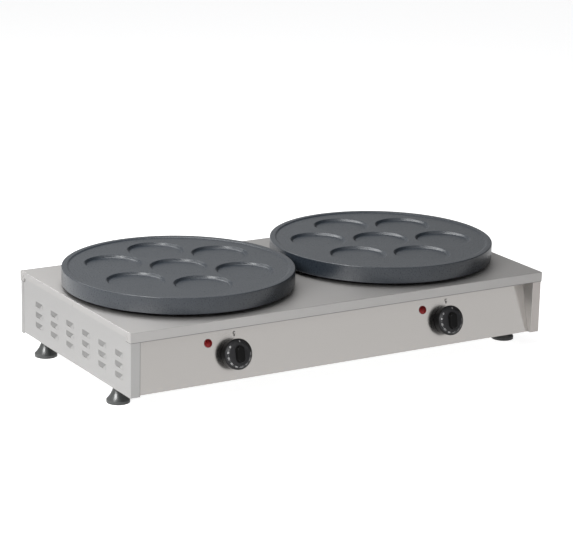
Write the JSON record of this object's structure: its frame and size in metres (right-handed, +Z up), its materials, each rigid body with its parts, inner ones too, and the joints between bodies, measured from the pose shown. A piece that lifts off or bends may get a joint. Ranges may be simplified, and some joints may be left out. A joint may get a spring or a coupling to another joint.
{
  "type": "electric crepe maker",
  "caption": "Double electric crepe maker: round cast plates with round wells on a low stainless casing with a slanted control panel and bell feet",
  "frame": {"origin": "on the ground under the middle of the whole outline, knobs and cable gland included", "axes": "+X to the right along the front, +Y to the rear, +Z up"},
  "size_m": [0.8236, 0.4505, 0.177],
  "materials": {
    "cover_steel": "satin stainless sheet, long grain along X",
    "side_steel": "satin stainless sheet",
    "front_steel": "satin stainless sheet, long grain along X",
    "inner_steel": "plain galvanised sheet",
    "cast_plate": "seasoned blue-black casting with fine turning marks",
    "element_steel": "heat-tinted stainless tube",
    "bracket_steel": "plain steel",
    "zinc_fasteners": "bright zinc plating",
    "mineral_wool": "pressed mineral wool",
    "white_phenolic": "steatite and phenolic, matt off-white",
    "copper_bulb": "drawn copper capillary",
    "black_knob": "black thermoset, satin face and gloss skirt",
    "black_nylon": "black polyamide",
    "red_lens": "clear red lens",
    "dial_print": "white printed numbers and pointer line",
    "index_print": "dark etched index mark",
    "black_feet": "black moulded polyamide, slight sheen",
    "wire_sleeve": "glass-sleeved wire"
  },
  "bodies": {
    "casing": {"base_plate": "inner_steel", "base_screws": "zinc_fasteners", "cable_gland": "black_nylon", "centre_brace": "inner_steel", "earth_lead": "wire_sleeve", "earth_stud": "zinc_fasteners", "foot_inserts": "zinc_fasteners", "front_panel": "front_steel", "gland_cap": "black_nylon", "gland_locknut": "black_nylon", "left_clamp_screws": "zinc_fasteners", "left_element_clamp": "bracket_steel", "left_griddle_plate": "cast_plate", "left_heat_shield": "inner_steel", "left_heating_element": "element_steel", "left_inner_rail": "inner_steel", "left_insulation": "mineral_wool", "left_lamp_holder": "black_nylon", "left_lamp_lens": "red_lens", "left_outer_rail": "inner_steel", "left_overheat_cutout": "white_phenolic", "left_plate_nuts": "zinc_fasteners", "left_plate_spacers": "bracket_steel", "left_plate_studs": "zinc_fasteners", "left_sensor": "copper_bulb", "left_side_panel": "side_steel", "left_thermostat": "white_phenolic", "left_thermostat_screws": "zinc_fasteners", "left_wiring": "wire_sleeve", "rear_panel": "side_steel", "rear_screws": "zinc_fasteners", "right_clamp_screws": "zinc_fasteners", "right_element_clamp": "bracket_steel", "right_griddle_plate": "cast_plate", "right_heat_shield": "inner_steel", "right_heating_element": "element_steel", "right_inner_rail": "inner_steel", "right_insulation": "mineral_wool", "right_lamp_holder": "black_nylon", "right_lamp_lens": "red_lens", "right_outer_rail": "inner_steel", "right_overheat_cutout": "white_phenolic", "right_plate_nuts": "zinc_fasteners", "right_plate_spacers": "bracket_steel", "right_plate_studs": "zinc_fasteners", "right_sensor": "copper_bulb", "right_side_panel": "side_steel", "right_thermostat": "white_phenolic", "right_thermostat_screws": "zinc_fasteners", "right_wiring": "wire_sleeve", "terminal_block": "white_phenolic", "top_cover": "cover_steel"},
    "left_knob_turned": {"left_knob": "black_knob", "left_spindle": "zinc_fasteners"},
    "right_knob_turned": {"right_knob": "black_knob", "right_spindle": "zinc_fasteners"},
    "front_left_foot_screwed": {"front_left_foot": "black_feet"},
    "front_right_foot_screwed": {"front_right_foot": "black_feet"},
    "rear_left_foot_screwed": {"rear_left_foot": "black_feet"},
    "rear_right_foot_screwed": {"rear_right_foot": "black_feet"}
  },
  "joints": [
    {"name": "left_knob_turn", "type": "hinge", "parent": "casing", "child": "left_knob_turned", "pos_m": [-0.208, -0.1936, 0.0736], "axis": [0, 0.9681, -0.2504], "range_deg": [0, 270]},
    {"name": "right_knob_turn", "type": "hinge", "parent": "casing", "child": "right_knob_turned", "pos_m": [0.218, -0.1936, 0.0736], "axis": [0, 0.9681, -0.2504], "range_deg": [0, 270]},
    {"name": "front_left_foot_height", "type": "slide", "parent": "casing", "child": "front_left_foot_screwed", "axis": [0, 0, 1], "range_m": [-0.01, 0]},
    {"name": "front_right_foot_height", "type": "slide", "parent": "casing", "child": "front_right_foot_screwed", "axis": [0, 0, 1], "range_m": [-0.01, 0]},
    {"name": "rear_left_foot_height", "type": "slide", "parent": "casing", "child": "rear_left_foot_screwed", "axis": [0, 0, 1], "range_m": [-0.01, 0]},
    {"name": "rear_right_foot_height", "type": "slide", "parent": "casing", "child": "rear_right_foot_screwed", "axis": [0, 0, 1], "range_m": [-0.01, 0]}
  ]
}
